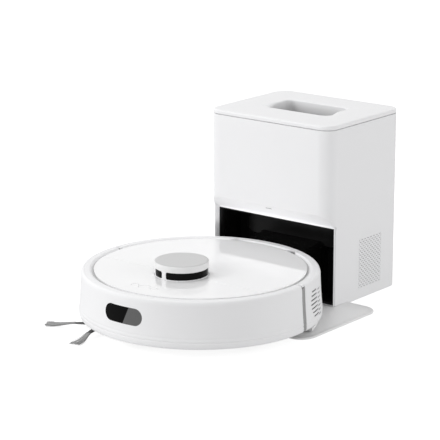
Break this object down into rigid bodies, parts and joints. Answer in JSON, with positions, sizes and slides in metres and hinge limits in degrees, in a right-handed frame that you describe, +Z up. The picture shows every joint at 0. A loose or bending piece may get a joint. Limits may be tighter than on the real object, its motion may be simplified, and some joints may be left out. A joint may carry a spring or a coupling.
{
  "type": "robot vacuum with dock",
  "caption": "Round white robot vacuum with a lidar turret, parked on the base plate of a tall self-emptying dock with a black alcove and a handle recess in its lid.",
  "frame": {"origin": "middle of the dock's underside, on the floor", "axes": "+Z up, -Y out of the dock's front towards the robot, +X to the right seen from the front"},
  "size_m": [0.354, 0.5483, 0.2791],
  "materials": {
    "satin_white": "satin moulded plastic",
    "gloss_white": "polished, mirror-like",
    "cap_grey": "satin light grey",
    "mid_grey": "matte grey rubber",
    "plate_grey": "fine matte texture",
    "gloss_black": "polished black",
    "soft_black": "matte black",
    "tyre_black": "ribbed rubber",
    "inner_grey": "plain moulded inner plastic",
    "bristle_grey": "bundled nylon bristles",
    "paper": "non-woven filter cloth",
    "steel": "ground steel",
    "brass": "plated contact metal",
    "circuit": "circuit board",
    "cell": "shrink-wrapped cells"
  },
  "bodies": {
    "dock": {"dock_shell": "satin_white", "dock_base": "inner_grey", "base_plate": "plate_grey", "alcove_liner": "gloss_black", "inlet_seal": "mid_grey", "air_duct": "inner_grey", "bag_collar": "paper", "dust_bag": "paper", "dock_motor": "soft_black", "exhaust_filter": "paper", "exhaust_grille": "satin_white", "mains_inlet": "soft_black", "led_lens": "gloss_white", "lid_pin": "steel"},
    "dock_lid": {"dock_lid": "satin_white", "lid_seal": "mid_grey"},
    "dock_impeller": {"dock_impeller": "inner_grey"},
    "contact_left": {"contact_left": "brass"},
    "contact_right": {"contact_right": "brass"},
    "robot": {"rear_body": "satin_white", "slit_lining_left": "mid_grey", "slit_lining_right": "mid_grey", "charge_pad_left": "brass", "charge_pad_right": "brass", "chassis": "inner_grey", "upper_frame": "inner_grey", "cover_hinge_pin": "steel", "front_deck": "gloss_white", "side_brush_motor": "soft_black", "brush_guard": "inner_grey", "dustbin": "inner_grey", "dust_filter": "paper", "fan_housing": "soft_black", "battery": "cell", "main_board": "circuit", "camera_module": "soft_black", "mop_bracket": "plate_grey", "mop_pad": "paper"},
    "bumper": {"bumper": "satin_white", "sensor_window": "gloss_black"},
    "flip_cover": {"flip_cover": "gloss_white"},
    "spot_button": {"spot_button": "gloss_white"},
    "power_button": {"power_button": "gloss_white"},
    "home_button": {"home_button": "gloss_white"},
    "turret_cover": {"turret_ring": "satin_white", "turret_window": "gloss_black", "turret_cap": "cap_grey"},
    "lidar_rotor": {"lidar_rotor": "soft_black"},
    "wheel_arm_left": {"wheel_arm_left": "soft_black"},
    "wheel_left": {"wheel_hub_left": "inner_grey", "tyre_left": "tyre_black"},
    "wheel_arm_right": {"wheel_arm_right": "soft_black"},
    "wheel_right": {"wheel_hub_right": "inner_grey", "tyre_right": "tyre_black"},
    "caster_fork": {"caster_fork": "inner_grey"},
    "caster_wheel": {"caster_wheel": "soft_black"},
    "side_brush": {"side_brush_hub": "soft_black", "side_brush_bristles": "bristle_grey"},
    "main_brush": {"main_brush": "soft_black"},
    "suction_impeller": {"suction_impeller": "inner_grey"}
  },
  "joints": [
    {"name": "robot_drive", "type": "slide", "parent": "dock", "child": "robot", "axis": [0, -1, 0], "range_m": [0, 0.3]},
    {"name": "dock_lid_hinge", "type": "hinge", "parent": "dock", "child": "dock_lid", "pos_m": [0, 0.091, 0.2756], "axis": [-1, 0, 0], "range_deg": [0, 75]},
    {"name": "dock_fan_spin", "type": "hinge", "parent": "dock", "child": "dock_impeller", "pos_m": [0.05, 0.038, 0.1], "axis": [0, 0, 1], "continuous": true},
    {"name": "contact_left_press", "type": "slide", "parent": "dock", "child": "contact_left", "axis": [0, 1, 0], "range_m": [0, 0.003], "stiffness_N_per_m": 400, "springref_m": -0.001},
    {"name": "contact_right_press", "type": "slide", "parent": "dock", "child": "contact_right", "axis": [0, 1, 0], "range_m": [0, 0.003], "stiffness_N_per_m": 400, "springref_m": -0.001},
    {"name": "bumper_press", "type": "slide", "parent": "robot", "child": "bumper", "axis": [0, 1, 0], "range_m": [0, 0.0025], "stiffness_N_per_m": 900, "springref_m": -0.003},
    {"name": "flip_cover_hinge", "type": "hinge", "parent": "robot", "child": "flip_cover", "pos_m": [0, -0.104, 0.0785], "axis": [-1, 0, 0], "range_deg": [0, 60]},
    {"name": "spot_button_press", "type": "slide", "parent": "robot", "child": "spot_button", "axis": [0, 0, -1], "range_m": [0, 0.001], "stiffness_N_per_m": 400, "springref_m": -0.001},
    {"name": "power_button_press", "type": "slide", "parent": "robot", "child": "power_button", "axis": [0, 0, -1], "range_m": [0, 0.001], "stiffness_N_per_m": 400, "springref_m": -0.001},
    {"name": "home_button_press", "type": "slide", "parent": "robot", "child": "home_button", "axis": [0, 0, -1], "range_m": [0, 0.001], "stiffness_N_per_m": 400, "springref_m": -0.001},
    {"name": "turret_press", "type": "slide", "parent": "robot", "child": "turret_cover", "axis": [0, 0, -1], "range_m": [0, 0.001], "stiffness_N_per_m": 1200, "springref_m": -0.002},
    {"name": "lidar_spin", "type": "hinge", "parent": "robot", "child": "lidar_rotor", "pos_m": [0, -0.295, 0.088], "axis": [0, 0, 1], "continuous": true},
    {"name": "wheel_arm_left_swing", "type": "hinge", "parent": "robot", "child": "wheel_arm_left", "pos_m": [-0.1, -0.3, 0.042], "axis": [-1, 0, 0], "range_deg": [0, 14]},
    {"name": "wheel_arm_right_swing", "type": "hinge", "parent": "robot", "child": "wheel_arm_right", "pos_m": [0.1, -0.3, 0.042], "axis": [-1, 0, 0], "range_deg": [0, 14]},
    {"name": "wheel_left_spin", "type": "hinge", "parent": "wheel_arm_left", "child": "wheel_left", "pos_m": [-0.117, -0.258, 0.03], "axis": [1, 0, 0], "continuous": true},
    {"name": "wheel_right_spin", "type": "hinge", "parent": "wheel_arm_right", "child": "wheel_right", "pos_m": [0.117, -0.258, 0.03], "axis": [1, 0, 0], "continuous": true},
    {"name": "caster_swivel", "type": "hinge", "parent": "robot", "child": "caster_fork", "pos_m": [0, -0.383, 0.022], "axis": [0, 0, 1], "continuous": true},
    {"name": "caster_roll", "type": "hinge", "parent": "caster_fork", "child": "caster_wheel", "pos_m": [0, -0.378, 0.01], "axis": [1, 0, 0], "continuous": true},
    {"name": "side_brush_spin", "type": "hinge", "parent": "robot", "child": "side_brush", "pos_m": [-0.089, -0.366, 0.01], "axis": [0, 0, 1], "continuous": true, "deforming": ["side_brush_bristles"]},
    {"name": "main_brush_spin", "type": "hinge", "parent": "robot", "child": "main_brush", "pos_m": [0, -0.302, 0.0255], "axis": [1, 0, 0], "continuous": true},
    {"name": "suction_fan_spin", "type": "hinge", "parent": "robot", "child": "suction_impeller", "pos_m": [0.104, -0.182, 0.035], "axis": [0, 0, 1], "continuous": true}
  ]
}
